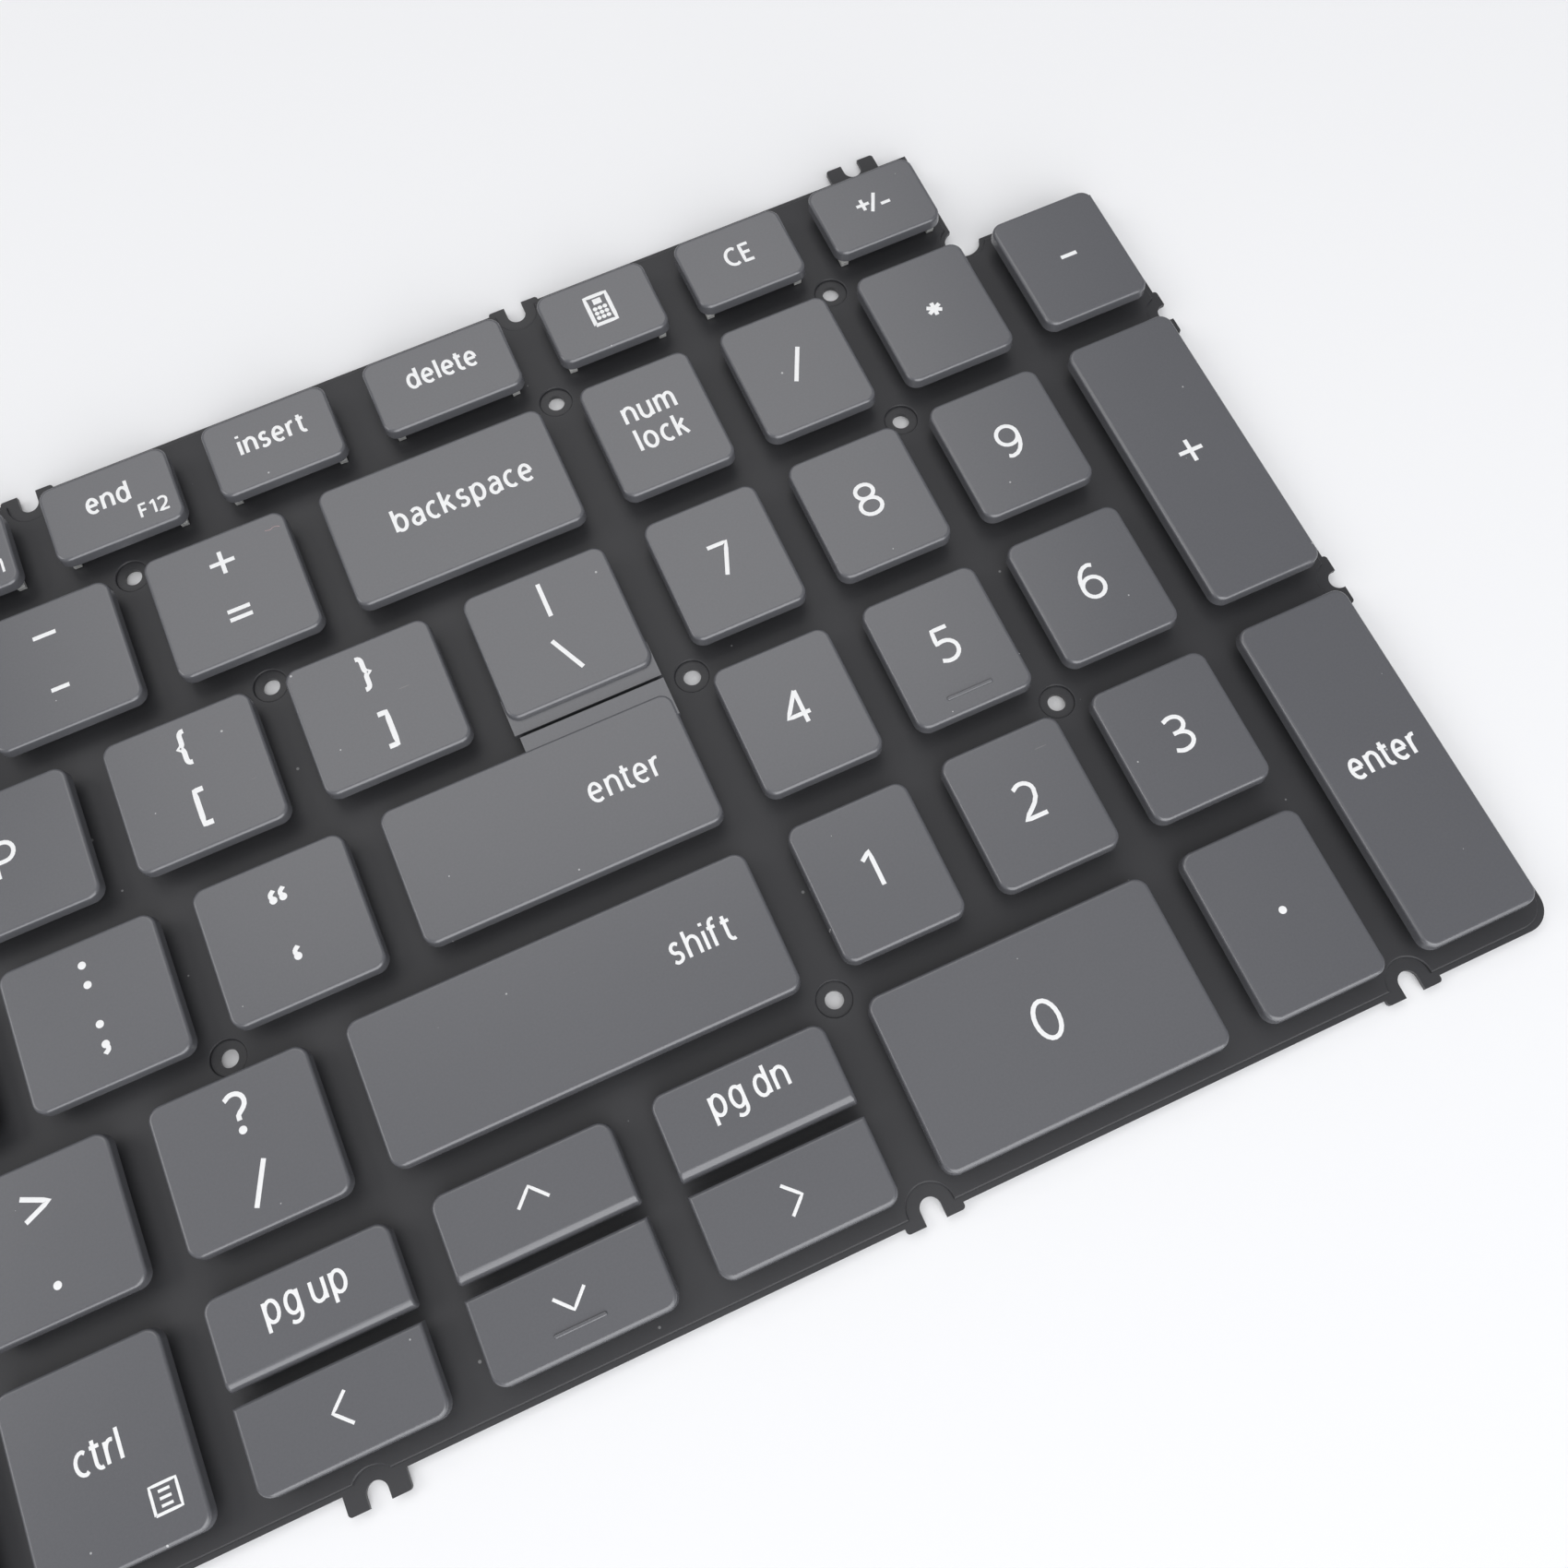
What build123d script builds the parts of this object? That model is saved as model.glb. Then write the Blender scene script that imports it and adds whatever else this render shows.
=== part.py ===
import os
from collections import namedtuple
from functools import lru_cache
from math import asin, atan, cos, degrees, sin

from build123d import *

# Laptop keyboard with a number pad, as it comes out of the case: key caps on scissor links and
# rubber domes, over a switch membrane on a stamped steel plate. +X is to the typist's right, +Y to
# the rear and +Z up out of the keys. The origin is under the middle of the plate. Millimetres.

# Stamped plate and the membrane on it
plate_x = 335.7
plate_y = 105.2
plate_t = 0.5
plate_corner_r = 2.5
membrane_t = 0.3
membrane_inset = 0.5
membrane_edge_r = 0.16

# Step in the rear right corner, where the last column has no key in the function row
step_x = 16.35
step_y = 13.7
step_relief_r = 1.9
step_relief_shift = 0.65

# Screw holes, and the ring left open in the membrane round each
hole_d = 1.8
hole_ring_r = 1.7

# Edge slots between two short legs, which drop over pins in the case
slot_w = 2.0
slot_legs_w = 5.7
slot_short_leg = 0.4
slot_front_leg = 0.6
slot_long_leg = 1.85
slot_depth = 2.3
slot_long_depth = 1.95
slot_side_depth = 1.2
slot_collar_r = 2.2
slot_leg_r = 0.35

# Places of the slots along the plate's edges, from the number pad's left line
rear_slots_x = (-230, -150, -55.45, -0.15)
rear_long_slot_x = 41.35
front_slots_x = (-235, -0.35, 48.55)
front_long_slots_x = (-145, -52.95)
side_slot_rows = (1, 3)

# Places of the screw holes: from the pad's left or middle line, and from the line behind a row of keys
pad_left_holes = [(-0.3, 0, 0), (0.45, 2, 0), (-0.3, 4, 0)]
pad_middle_holes = [(0, 0, 0), (0, 1, 0), (0, 3, 0)]
main_holes = [(-47.75, 0, -0.7), (-38.45, 1, -0.8), (-53.5, 3, 0.6)]
left_holes = [(-122.4, 0, 0), (-197.2, 0, 0), (-123, 2, 0), (-216.5, 2, 0), (-118.8, 4, 0), (-212.3, 4, 0)]

# Key grid: pitches, gaps between cap tops, and distances from the plate's edges
main_pitch = 18.7
pad_pitch = 16.05
function_pitch = 17.55
arrow_pitch = 20.85
row_pitch = 17.7
gap_x = 3.7
gap_y = 3.48
pad_edge = 7.675
pad_to_main = 10.55
main_left_edge = 1.55
rear_to_rows = 13.3
function_depth = 9.05
bottom_depth = 17.1
half_gap = 1.35

# Widths of the cap tops that don't follow their row's pitch
function_w = 13.6
delete_w = 15.5
delete_gap = 4.3
pad_last_w = 11.95
backspace_w = 24.6
backslash_w = 15.25
enter_w = 30.2
shift_w = 39.7
arrow_w = 16.95
control_w = 14.6
left_control_w = 19.7
first_least_w = 7.5

# Key cap: height of its top above the membrane, its shell and its edges
cap_rise = 3.0
cap_h = 1.25
cap_top_t = 0.75
cap_flare = 0.1
cap_corner_r = 1.3
cap_edge_r = 0.36
cap_pocket_margin = 0.4
upper_front_r = 0.9
front_ledge_drop = 0.6
rear_ledge_drop = 0.1
ledge_reach = 1.4
ledge_clear = 0.55
ledge_inset = 0.3
ledge_foot_r = 0.15
mark_x = 4.9
mark_y = 0.4
mark_h = 0.15
mark_edge_r = 0.13
mark_from_front = 2.0

# Rubber dome under each cap
dome_base_r = 1.9
dome_top_r = 1.3
dome_wall = 0.5
dome_flange_t = 0.3

# Scissor link: two U frames that cross under each cap
link_t = 0.6
link_arm = 0.8
link_clear = 0.25
link_seat = 0.1
link_side_margin = 1.7
link_end_margin = 1.6
short_link_margin = 0.6
short_link_high_margin = 0.9

# Caps of the left part, which stand fixed as one group. All other caps move, each on its own
fixed_names = ["esc"] + [f"f{n}" for n in range(1, 9)] + list("12345678qwertyuasdfghjzxcvbnm")
fixed_names += ["grave", "tab", "caps_lock", "left_shift", "left_ctrl", "fn", "home", "left_alt"]

base_z = plate_t + membrane_t
cap_top_z = base_z + cap_rise
cap_bottom_z = cap_top_z - cap_h
cap_under_z = cap_top_z - cap_top_t
main_w = main_pitch - gap_x
pad_w = pad_pitch - gap_x
row_depth = row_pitch - gap_y

# Key layout
Key = namedtuple("Key", "name x y w d style")


def pad_x(column):
    """Middle of a number pad column, counted from 0 at its left."""
    return plate_x / 2 - pad_edge - (3 - column) * pad_pitch


def row_y(row):
    """Middle of a full row, counted from 0 at the digits."""
    return plate_y / 2 - rear_to_rows - (row + 0.5) * row_pitch


main_right = pad_x(0) - pad_to_main
main_left = -plate_x / 2 + main_left_edge
function_y = plate_y / 2 - rear_to_rows + (gap_y + function_depth) / 2
bottom_y = row_y(4) + (row_depth - bottom_depth) / 2
half_depth = (bottom_depth - half_gap) / 2
upper_y = bottom_y + (bottom_depth - half_depth) / 2
lower_y = bottom_y - (bottom_depth - half_depth) / 2


def lay_row(names, right, y, d, w, gap, styles):
    """Caps of one width from right to left, as many as fit. The first name fills the row's left end."""
    keys = []
    for name in reversed(names[1:]):
        if right - w - gap - main_left < first_least_w:
            break
        keys.append(Key(name, right - w / 2, y, w, d, styles.get(name, "plain")))
        right -= w + gap
    w = right - main_left
    keys.append(Key(names[0], right - w / 2, y, w, d, "plain"))
    return keys


def end_key(name, w, y, d, style="plain", right=main_right):
    """Cap set against the right end of its row."""
    return Key(name, right - w / 2, y, w, d, style)


def pad_key(name, column, row, style="plain"):
    """Number pad cap one row deep."""
    w = pad_last_w if column == 3 else pad_w
    return Key(name, pad_x(column), row_y(row), w, row_depth, style)


function_names = ["esc"] + [f"f{n}" for n in range(1, 13)] + ["insert"]
digit_names = ["grave"] + list("1234567890") + ["minus", "equals"]
upper_names = ["tab"] + list("qwertyuiop") + ["left_bracket", "right_bracket"]
home_names = ["caps_lock"] + list("asdfghjkl") + ["semicolon", "quote"]
lower_names = ["left_shift"] + list("zxcvbnm") + ["comma", "period", "slash"]
marked = {"f": "marked", "j": "marked"}

keys = [end_key("delete", delete_w, function_y, function_depth)]
keys += lay_row(
    function_names,
    main_right - delete_w - delete_gap,
    function_y,
    function_depth,
    function_w,
    function_pitch - function_w,
    {},
)
for column, name in enumerate(["calculator", "clear_entry", "plus_minus"]):
    keys.append(Key(name, pad_x(column), function_y, pad_w, function_depth, "plain"))

row_ends = [
    ("backspace", backspace_w, "plain", digit_names),
    ("backslash", backslash_w, "front_ledge", upper_names),
    ("enter", enter_w, "rear_ledge", home_names),
    ("right_shift", shift_w, "plain", lower_names),
]
for row, (name, w, style, names) in enumerate(row_ends):
    keys.append(end_key(name, w, row_y(row), row_depth, style))
    keys += lay_row(names, main_right - w - gap_x, row_y(row), row_depth, main_w, gap_x, marked)

for column, (upper, lower, lower_style) in enumerate(
    [
        ("page_down", "arrow_right", "lower"),
        ("arrow_up", "arrow_down", "marked_lower"),
        ("page_up", "arrow_left", "lower"),
    ]
):
    arrow_right = main_right - column * arrow_pitch
    keys.append(end_key(upper, arrow_w, upper_y, half_depth, "upper", arrow_right))
    keys.append(end_key(lower, arrow_w, lower_y, half_depth, lower_style, arrow_right))

control_right = main_right - 3 * arrow_pitch
keys.append(end_key("right_ctrl", control_w, bottom_y, bottom_depth, "plain", control_right))
right = control_right - control_w - gap_x
keys.append(end_key("right_alt", main_w, bottom_y, bottom_depth, "plain", right))
left = main_left
for name, w in [("left_ctrl", left_control_w), ("fn", main_w), ("home", main_w), ("left_alt", main_w)]:
    keys.append(Key(name, left + w / 2, bottom_y, w, bottom_depth, "plain"))
    left += w + gap_x
right -= main_w + gap_x
keys.append(Key("space", (left + right) / 2, bottom_y, right - left, bottom_depth, "plain"))

for row, names in enumerate([("num_lock", "divide", "multiply", "subtract"), "789", "456", "123"]):
    for column, name in enumerate(names):
        keys.append(pad_key(f"pad_{name}", column, row, "marked" if name == "5" else "plain"))
pad_0_w = pad_pitch + pad_w
keys.append(Key("pad_0", (pad_x(0) + pad_x(1)) / 2, bottom_y, pad_0_w, bottom_depth, "plain"))
keys.append(Key("pad_dot", pad_x(2), bottom_y, pad_w, bottom_depth, "plain"))
add_depth = row_pitch + row_depth
pad_enter_depth = row_pitch + bottom_depth
pad_enter_y = row_y(3) + (row_depth - pad_enter_depth) / 2
keys.append(Key("pad_add", pad_x(3), (row_y(1) + row_y(2)) / 2, pad_last_w, add_depth, "plain"))
keys.append(Key("pad_enter", pad_x(3), pad_enter_y, pad_last_w, pad_enter_depth, "plain"))


# Plate outline, slots and holes
Slot = namedtuple("Slot", "x y turn leg depth")
rear = plate_y / 2
side = plate_x / 2
rear_line = rear - rear_to_rows
pad_left = pad_x(0) - pad_pitch / 2
pad_line = pad_x(2) - pad_pitch / 2
slots = [Slot(pad_left + x, rear, 0, slot_short_leg, slot_depth) for x in rear_slots_x]
slots += [Slot(pad_left + x, -rear, 180, slot_front_leg, slot_depth) for x in front_slots_x]
slots += [Slot(pad_left + rear_long_slot_x, rear, 0, slot_long_leg, slot_long_depth)]
slots += [Slot(pad_left + x, -rear, 180, slot_long_leg, slot_long_depth) for x in front_long_slots_x]
for row in side_slot_rows:
    y = rear_line - row * row_pitch
    slots.append(Slot(side, y, -90, slot_short_leg, slot_side_depth))
    slots.append(Slot(-side, y, 90, slot_short_leg, slot_side_depth))
holes = []
for line, places in [(pad_left, pad_left_holes + main_holes + left_holes), (pad_line, pad_middle_holes)]:
    for x, row, shift in places:
        holes.append((line + x, rear_line - row * row_pitch + shift))


def outline(inset):
    """Outline of the plate with its stepped rear right corner, or of a sheet cut back from it."""
    step_line = side - step_x - inset
    with BuildSketch() as sheet:
        with BuildLine():
            Polyline(
                (-side + inset, -rear + inset),
                (side - inset, -rear + inset),
                (side - inset, rear - step_y - inset),
                (step_line, rear - step_y - inset),
                (step_line, rear - inset),
                (-side + inset, rear - inset),
                close=True,
            )
        make_face()
        fillet(vertices().group_by(Axis.Y)[0], plate_corner_r)
        fillet(vertices().group_by(Axis.Y)[-1].sort_by(Axis.X)[0], plate_corner_r)
    return sheet.sketch


with BuildPart() as plate:
    with BuildSketch():
        add(outline(0))
        with Locations((side - step_x + step_relief_shift, rear_line)):
            Circle(step_relief_r, mode=Mode.SUBTRACT)
        for slot in slots:
            with Locations(Location((slot.x, slot.y), slot.turn)):
                with Locations((0, slot.leg - slot_depth / 2)):
                    RectangleRounded(slot_legs_w, slot_depth, slot_leg_r)
        for slot in slots:
            floor = slot.leg - slot.depth
            with Locations(Location((slot.x, slot.y), slot.turn)):
                with Locations((0, floor + slot_w / 2)):
                    Circle(slot_w / 2, mode=Mode.SUBTRACT)
                with Locations((0, floor + slot_w / 2 + slot_depth / 2)):
                    Rectangle(slot_w, slot_depth, mode=Mode.SUBTRACT)
        with Locations(*holes):
            Circle(hole_d / 2, mode=Mode.SUBTRACT)
    extrude(amount=plate_t)
plate.part.label = "support_plate"

# Switch membrane, cut back from the plate's edge, its slots and its holes
with BuildPart() as membrane:
    with BuildSketch(Plane.XY.offset(plate_t)):
        add(outline(membrane_inset))
        with Locations((side - step_x + step_relief_shift, rear_line)):
            Circle(step_relief_r + membrane_inset, mode=Mode.SUBTRACT)
        for slot in slots:
            floor = slot.leg - slot.depth
            with Locations(Location((slot.x, slot.y), slot.turn)):
                with Locations((0, floor + slot_w / 2)):
                    Circle(slot_collar_r, mode=Mode.SUBTRACT)
                with Locations((0, floor + slot_w / 2 + slot_depth)):
                    Rectangle(2 * slot_collar_r, 2 * slot_depth, mode=Mode.SUBTRACT)
        with Locations(*holes):
            Circle(hole_ring_r, mode=Mode.SUBTRACT)
    extrude(amount=membrane_t)
    fillet(faces().sort_by(Axis.Z)[-1].edges(), membrane_edge_r)
membrane.part.label = "switch_membrane"


def cap_profile(w, d, style):
    """Foot of a cap. The caps of a stacked pair are square where they face each other."""
    Rectangle(w + 2 * cap_flare, d + 2 * cap_flare)
    by_y = vertices().group_by(Axis.Y)
    round_corners = by_y[0] + by_y[-1]
    if style == "upper":
        round_corners = by_y[-1]
    if style in ("lower", "marked_lower"):
        round_corners = by_y[0]
    fillet(round_corners, cap_corner_r + cap_flare)


@lru_cache
def cap_shape(w, d, style):
    """Moulded cap with drafted sides, a soft top edge and a shallow pocket, centred on its own axis."""
    with BuildPart() as cap:
        with BuildSketch(Plane.XY.offset(cap_bottom_z)):
            cap_profile(w, d, style)
        extrude(amount=cap_h, taper=degrees(atan(cap_flare / cap_h)))
        soft_edges = faces().sort_by(Axis.Z)[-1].edges().sort_by(Axis.Y)
        if style == "upper":
            fillet(soft_edges[0], upper_front_r)
            soft_edges = faces().sort_by(Axis.Z)[-1].edges().sort_by(Axis.Y)[1:]
        fillet(soft_edges, cap_edge_r)
        if style == "front_ledge":
            ledge_y = -(d / 2 + ledge_reach / 2)
            with BuildSketch(Plane.XY.offset(cap_bottom_z)):
                with Locations((0, ledge_y + cap_corner_r)):
                    Rectangle(w + 2 * cap_flare, ledge_reach + 2 * cap_corner_r)
            extrude(amount=cap_h - front_ledge_drop)
            ledge = faces().filter_by(Plane.XY).sort_by(Axis.Y)[0]
            fillet(ledge.edges().filter_by(Axis.X).sort_by(Axis.Y)[-1], ledge_foot_r)
        if style == "rear_ledge":
            ledge_w = backslash_w + cap_flare - ledge_inset
            ledge_d = gap_y - ledge_reach - ledge_clear
            with BuildSketch(Plane.XY.offset(cap_bottom_z)):
                with Locations((w / 2 + cap_flare - ledge_w / 2, d / 2 + ledge_d / 2 - cap_corner_r)):
                    Rectangle(ledge_w, ledge_d + 2 * cap_corner_r)
            extrude(amount=cap_h - rear_ledge_drop)
        with BuildSketch(Plane.XY.offset(cap_bottom_z)):
            Rectangle(w - 2 * cap_pocket_margin, d - 2 * cap_pocket_margin)
            fillet(vertices(), cap_corner_r - cap_pocket_margin)
        extrude(amount=cap_h - cap_top_t, mode=Mode.SUBTRACT)
        if style in ("marked", "marked_lower"):
            with BuildSketch(Plane.XY.offset(cap_top_z - mark_h)):
                with Locations((0, mark_from_front - d / 2)):
                    SlotOverall(mark_x, mark_y)
            extrude(amount=2 * mark_h)
            fillet(faces().sort_by(Axis.Z)[-1].edges(), mark_edge_r)
    return cap.part


def placed_cap(key):
    """Cap at its place in the layout."""
    with BuildPart() as cap:
        with Locations((key.x, key.y)):
            add(cap_shape(key.w, key.d, key.style))
    return cap.part


# Rubber domes: a thin flange on the membrane and a hollow cone up to the cap
with BuildPart() as dome:
    with BuildSketch(Plane.XZ):
        with BuildLine():
            Polyline(
                (dome_top_r - dome_wall, base_z),
                (dome_base_r, base_z),
                (dome_base_r, base_z + dome_flange_t),
                (dome_top_r, cap_under_z),
                (0, cap_under_z),
                (0, cap_under_z - dome_wall),
                (dome_top_r - dome_wall, cap_under_z - dome_wall),
                close=True,
            )
        make_face()
    revolve(axis=Axis.Z)

with BuildPart() as domes:
    with Locations(*[(key.x, key.y) for key in keys]):
        add(dome.part)
domes.part.label = "rubber_domes"


Link = namedtuple("Link", "plane half_w low_end high_end")


def scissor(key):
    """Two U frames that cross. Each has its prongs low on the membrane and its cross bar under the cap."""
    short = key.d < row_depth
    side_margin = short_link_margin if short else link_side_margin
    low_end = min(key.d, row_depth) / 2 - (short_link_margin if short else link_end_margin)
    high_end = min(key.d, row_depth) / 2 - (short_link_high_margin if short else link_end_margin)
    low_z = base_z + link_seat + link_t / 2
    high_z = cap_under_z - link_seat - link_t / 2
    slope = asin((high_z - low_z) / (low_end + high_end))
    pivot = (key.x, key.y, low_z + low_end * sin(slope))
    outer_w = min(key.w, main_w) / 2 - side_margin
    inner_w = outer_w - link_arm - link_clear
    rising_to_rear = Plane(pivot, x_dir=(1, 0, 0), z_dir=(0, -sin(slope), cos(slope)))
    rising_to_front = Plane(pivot, x_dir=(-1, 0, 0), z_dir=(0, sin(slope), cos(slope)))
    yield Link(rising_to_rear, outer_w, low_end, high_end)
    yield Link(rising_to_front, inner_w, low_end, high_end)


with BuildPart() as links:
    for key in keys:
        for link in scissor(key):
            length = link.low_end + link.high_end
            middle = (link.high_end - link.low_end) / 2
            with BuildSketch(link.plane):
                with Locations((0, middle)):
                    Rectangle(2 * link.half_w, length)
                with Locations((0, middle - link_arm)):
                    Rectangle(2 * (link.half_w - link_arm), length, mode=Mode.SUBTRACT)
    extrude(amount=link_t / 2, both=True)
links.part.label = "scissor_links"


# Fixed caps of the left part
with BuildPart() as left_caps:
    add([placed_cap(key) for key in keys if key.name in fixed_names])
left_caps.part.label = "left_keys"

pieces = [plate.part, membrane.part, domes.part, links.part, left_caps.part]
for key in keys:
    if key.name not in fixed_names:
        cap = placed_cap(key)
        cap.label = f"key_{key.name}"
        pieces.append(cap)

os.makedirs("parts", exist_ok=True)
for piece in pieces:
    export_step(piece, f"parts/{piece.label}.step")
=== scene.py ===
import math

import bpy
from mathutils import Matrix, Vector


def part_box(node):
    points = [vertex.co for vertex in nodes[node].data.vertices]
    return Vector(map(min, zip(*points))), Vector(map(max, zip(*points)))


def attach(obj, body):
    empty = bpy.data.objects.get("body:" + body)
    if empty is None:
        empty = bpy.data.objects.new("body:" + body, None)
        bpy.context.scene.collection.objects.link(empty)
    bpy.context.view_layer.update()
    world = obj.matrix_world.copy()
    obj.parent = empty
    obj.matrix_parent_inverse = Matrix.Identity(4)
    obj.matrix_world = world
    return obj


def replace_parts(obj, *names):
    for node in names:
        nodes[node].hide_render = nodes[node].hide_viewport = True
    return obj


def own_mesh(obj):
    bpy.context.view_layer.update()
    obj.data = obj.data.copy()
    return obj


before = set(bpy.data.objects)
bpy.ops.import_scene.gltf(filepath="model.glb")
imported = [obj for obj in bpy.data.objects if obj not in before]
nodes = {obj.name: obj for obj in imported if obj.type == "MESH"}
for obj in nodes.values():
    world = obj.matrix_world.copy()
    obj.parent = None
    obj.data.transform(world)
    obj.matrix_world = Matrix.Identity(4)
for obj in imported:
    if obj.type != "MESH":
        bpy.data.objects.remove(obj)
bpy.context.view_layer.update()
MM = 0.001
bpy.ops.object.select_all(action="DESELECT")


# Support plate: one stamped steel sheet, sprayed satin black, with slotted lugs along its edges and
# screw holes between the keys. It carries everything else. The paint is fine and even.
def finish_of(name):
    """A new material, its node tree and its shader."""
    made = bpy.data.materials.new(name)
    made.use_nodes = True
    return made, made.node_tree, made.node_tree.nodes["Principled BSDF"]


def group_of(name, inputs, outputs):
    """A shader node group with float inputs and outputs, its tree and its two end nodes."""
    tree = bpy.data.node_groups.new(name, "ShaderNodeTree")
    for label, value in inputs.items():
        socket = tree.interface.new_socket(label, in_out="INPUT", socket_type="NodeSocketFloat")
        socket.default_value = value
    for label in outputs:
        tree.interface.new_socket(label, in_out="OUTPUT", socket_type="NodeSocketFloat")
    return tree, tree.nodes.new("NodeGroupInput"), tree.nodes.new("NodeGroupOutput")


def place_group(tree, group, **values):
    """One use of a node group in a material, with its own values."""
    node = tree.nodes.new("ShaderNodeGroup")
    node.node_tree = group
    for label, value in values.items():
        node.inputs[label].default_value = value
    return node


def ramp_of(tree, source, low, high):
    """Maps a value from 0 to 1 to another range, held at its ends."""
    node = tree.nodes.new("ShaderNodeMapRange")
    node.inputs["To Min"].default_value = low
    node.inputs["To Max"].default_value = high
    tree.links.new(source, node.inputs["Value"])
    return node.outputs["Result"]


def tint_of(tree, source, dark, light):
    """A colour between two, by a mask."""
    node = tree.nodes.new("ShaderNodeMix")
    node.data_type = "RGBA"
    node.inputs["A"].default_value = (*dark, 1)
    node.inputs["B"].default_value = (*light, 1)
    tree.links.new(source, node.inputs["Factor"])
    return node.outputs["Result"]


def bump_of(tree, shader, height, strength, distance):
    """Relief of a surface from a height."""
    node = tree.nodes.new("ShaderNodeBump")
    node.inputs["Strength"].default_value = strength
    node.inputs["Distance"].default_value = distance
    tree.links.new(height, node.inputs["Height"])
    tree.links.new(node.outputs["Normal"], shader.inputs["Normal"])


def satin_grain():
    """Fine spray grain, broad cloudy patches that change the gloss, and a tone made of both."""
    tree, start, end = group_of(
        "satin_grain", {"Grain": 9000, "Cloud": 60, "Speckle": 0.4}, ["Height", "Patch", "Tone"]
    )
    place = tree.nodes.new("ShaderNodeTexCoord")
    tone = tree.nodes.new("ShaderNodeMix")
    tree.links.new(start.outputs["Speckle"], tone.inputs["Factor"])
    for label, detail, output, mixed in [("Cloud", 4, "Patch", "A"), ("Grain", 2, "Height", "B")]:
        noise = tree.nodes.new("ShaderNodeTexNoise")
        noise.inputs["Detail"].default_value = detail
        tree.links.new(place.outputs["Object"], noise.inputs["Vector"])
        tree.links.new(start.outputs[label], noise.inputs["Scale"])
        tree.links.new(noise.outputs["Fac"], end.inputs[output])
        tree.links.new(noise.outputs["Fac"], tone.inputs[mixed])
    tree.links.new(tone.outputs["Result"], end.inputs["Tone"])
    return tree


def dust_specks():
    """Sparse specks seen from above, each of its own size, or drawn out into short slanting scratches."""
    values = {"Scale": 220, "Share": 0.06, "Size": 0.05, "Stretch": 1}
    tree, start, end = group_of("dust_specks", values, ["Mask"])

    def reckon(operation, first, second):
        node = tree.nodes.new("ShaderNodeMath")
        node.operation = operation
        for socket, value in zip(node.inputs, (first, second)):
            if isinstance(value, (int, float)):
                socket.default_value = value
            else:
                tree.links.new(value, socket)
        return node.outputs["Value"]

    place = tree.nodes.new("ShaderNodeTexCoord")
    drawn_out = tree.nodes.new("ShaderNodeCombineXYZ")
    tree.links.new(reckon("DIVIDE", 1, start.outputs["Stretch"]), drawn_out.inputs["X"])
    drawn_out.inputs["Y"].default_value = 1
    turned = tree.nodes.new("ShaderNodeMapping")
    turned.inputs["Rotation"].default_value = (0, 0, 0.45)
    tree.links.new(place.outputs["Object"], turned.inputs["Vector"])
    tree.links.new(drawn_out.outputs["Vector"], turned.inputs["Scale"])
    cells = tree.nodes.new("ShaderNodeTexVoronoi")
    cells.voronoi_dimensions = "2D"
    tree.links.new(turned.outputs["Vector"], cells.inputs["Vector"])
    tree.links.new(start.outputs["Scale"], cells.inputs["Scale"])
    split = tree.nodes.new("ShaderNodeSeparateColor")
    tree.links.new(cells.outputs["Color"], split.inputs["Color"])
    reach = reckon("MULTIPLY", start.outputs["Size"], split.outputs["Green"])
    chosen = reckon("LESS_THAN", split.outputs["Red"], start.outputs["Share"])
    near = reckon("LESS_THAN", cells.outputs["Distance"], reach)
    tree.links.new(reckon("MULTIPLY", chosen, near), end.inputs["Mask"])
    return tree


def covered(tree, below, mask, colour):
    """A colour with another one over it where a mask says so."""
    node = tree.nodes.new("ShaderNodeMix")
    node.data_type = "RGBA"
    node.inputs["B"].default_value = (*colour, 1)
    tree.links.new(mask, node.inputs["Factor"])
    tree.links.new(below, node.inputs["A"])
    return node.outputs["Result"]


def dress(piece, material):
    """Gives a piece one finish all over."""
    piece.data.materials.clear()
    piece.data.materials.append(material)


grain_group = satin_grain()
dust_group = dust_specks()


def grained(name, grain, cloud, tints, gloss, relief=None, speckle=0.4, specks=(), **sockets):
    """A finish whose grain changes its tint and gloss. Specks are (values, colour), laid over the tint."""
    made, tree, shader = finish_of(name)
    texture = place_group(tree, grain_group, Grain=grain, Cloud=cloud, Speckle=speckle)
    tint = tint_of(tree, texture.outputs["Tone"], *tints)
    for values, colour in specks:
        dust = place_group(tree, dust_group, **values)
        tint = covered(tree, tint, dust.outputs["Mask"], colour)
    tree.links.new(tint, shader.inputs["Base Color"])
    tree.links.new(ramp_of(tree, texture.outputs["Patch"], *gloss), shader.inputs["Roughness"])
    if relief:
        bump_of(tree, shader, texture.outputs["Height"], *relief)
    for label, value in sockets.items():
        shader.inputs[label.replace("_", " ")].default_value = value
    return made


plate_paint = grained(
    "plate_black_paint",
    grain=5000,
    cloud=45,
    tints=[(0.030, 0.030, 0.032), (0.050, 0.050, 0.053)],
    gloss=(0.34, 0.48),
    relief=(0.15, 0.00002),
)
dress(nodes["support_plate"], plate_paint)


# Switch membrane: printed film laid on the plate and cut back round its slots and holes. It is the
# dark grey floor seen between the caps, with a soft sheen and a little dust.
membrane_film = grained(
    "membrane_dark_film",
    grain=7000,
    cloud=30,
    tints=[(0.030, 0.030, 0.032), (0.042, 0.042, 0.045)],
    gloss=(0.38, 0.55),
    relief=(0.12, 0.00002),
    specks=[({"Scale": 260, "Share": 0.05, "Size": 0.04}, (0.2, 0.2, 0.2))],
)
dress(nodes["switch_membrane"], membrane_film)


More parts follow.
